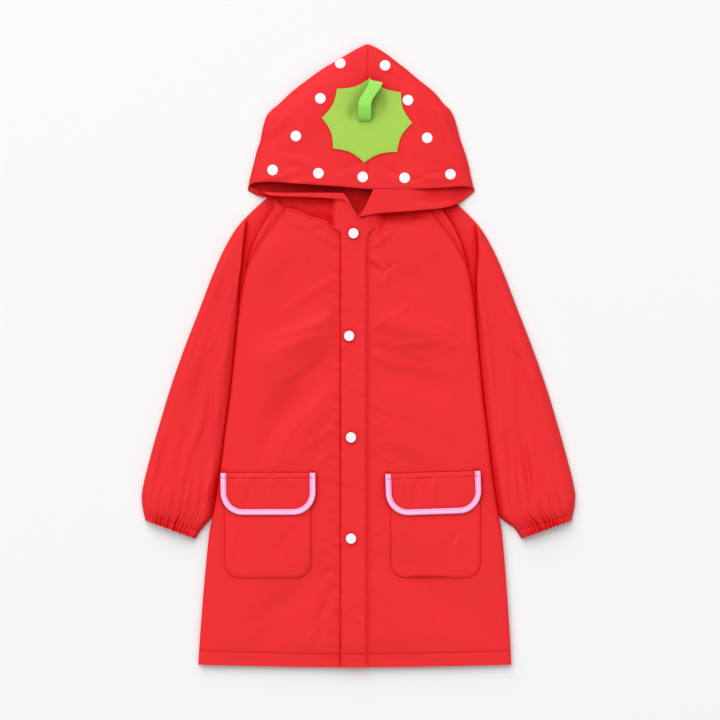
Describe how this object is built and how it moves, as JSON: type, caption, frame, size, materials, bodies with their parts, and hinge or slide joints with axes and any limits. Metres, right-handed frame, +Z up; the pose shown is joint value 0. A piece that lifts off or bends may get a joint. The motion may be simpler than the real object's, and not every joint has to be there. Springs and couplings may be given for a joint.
{
  "type": "child's hooded raincoat laid flat",
  "caption": "Child's hooded raincoat laid flat, front up: raglan sleeves with gathered cuffs, snap placket, two flap pockets, dotted hood with a leaf patch.",
  "frame": {"origin": "middle of the footprint, on the surface that the coat lies on", "axes": "+X to the viewer's right, which is the wearer's left; +Y from the hem to the hood; +Z up from the surface"},
  "size_m": [0.5212, 0.7476, 0.0275],
  "materials": {
    "red_taffeta": "satin, coated",
    "pink_tape": "matte",
    "green_cloth": "satin",
    "green_strap": "satin",
    "white_plastic": "gloss"
  },
  "bodies": {
    "root": {"back": "red_taffeta", "front_right": "red_taffeta", "front_left": "red_taffeta", "sleeve_right": "red_taffeta", "sleeve_left": "red_taffeta", "hood_right": "red_taffeta", "hood_left": "red_taffeta", "pocket_right": "red_taffeta", "pocket_left": "red_taffeta", "flap_right": "red_taffeta", "flap_left": "red_taffeta", "binding_right": "pink_tape", "binding_left": "pink_tape", "calyx": "green_cloth", "stalk_loop": "green_strap", "snap_1": "white_plastic", "snap_2": "white_plastic", "snap_3": "white_plastic", "snap_4": "white_plastic"}
  },
  "joints": []
}
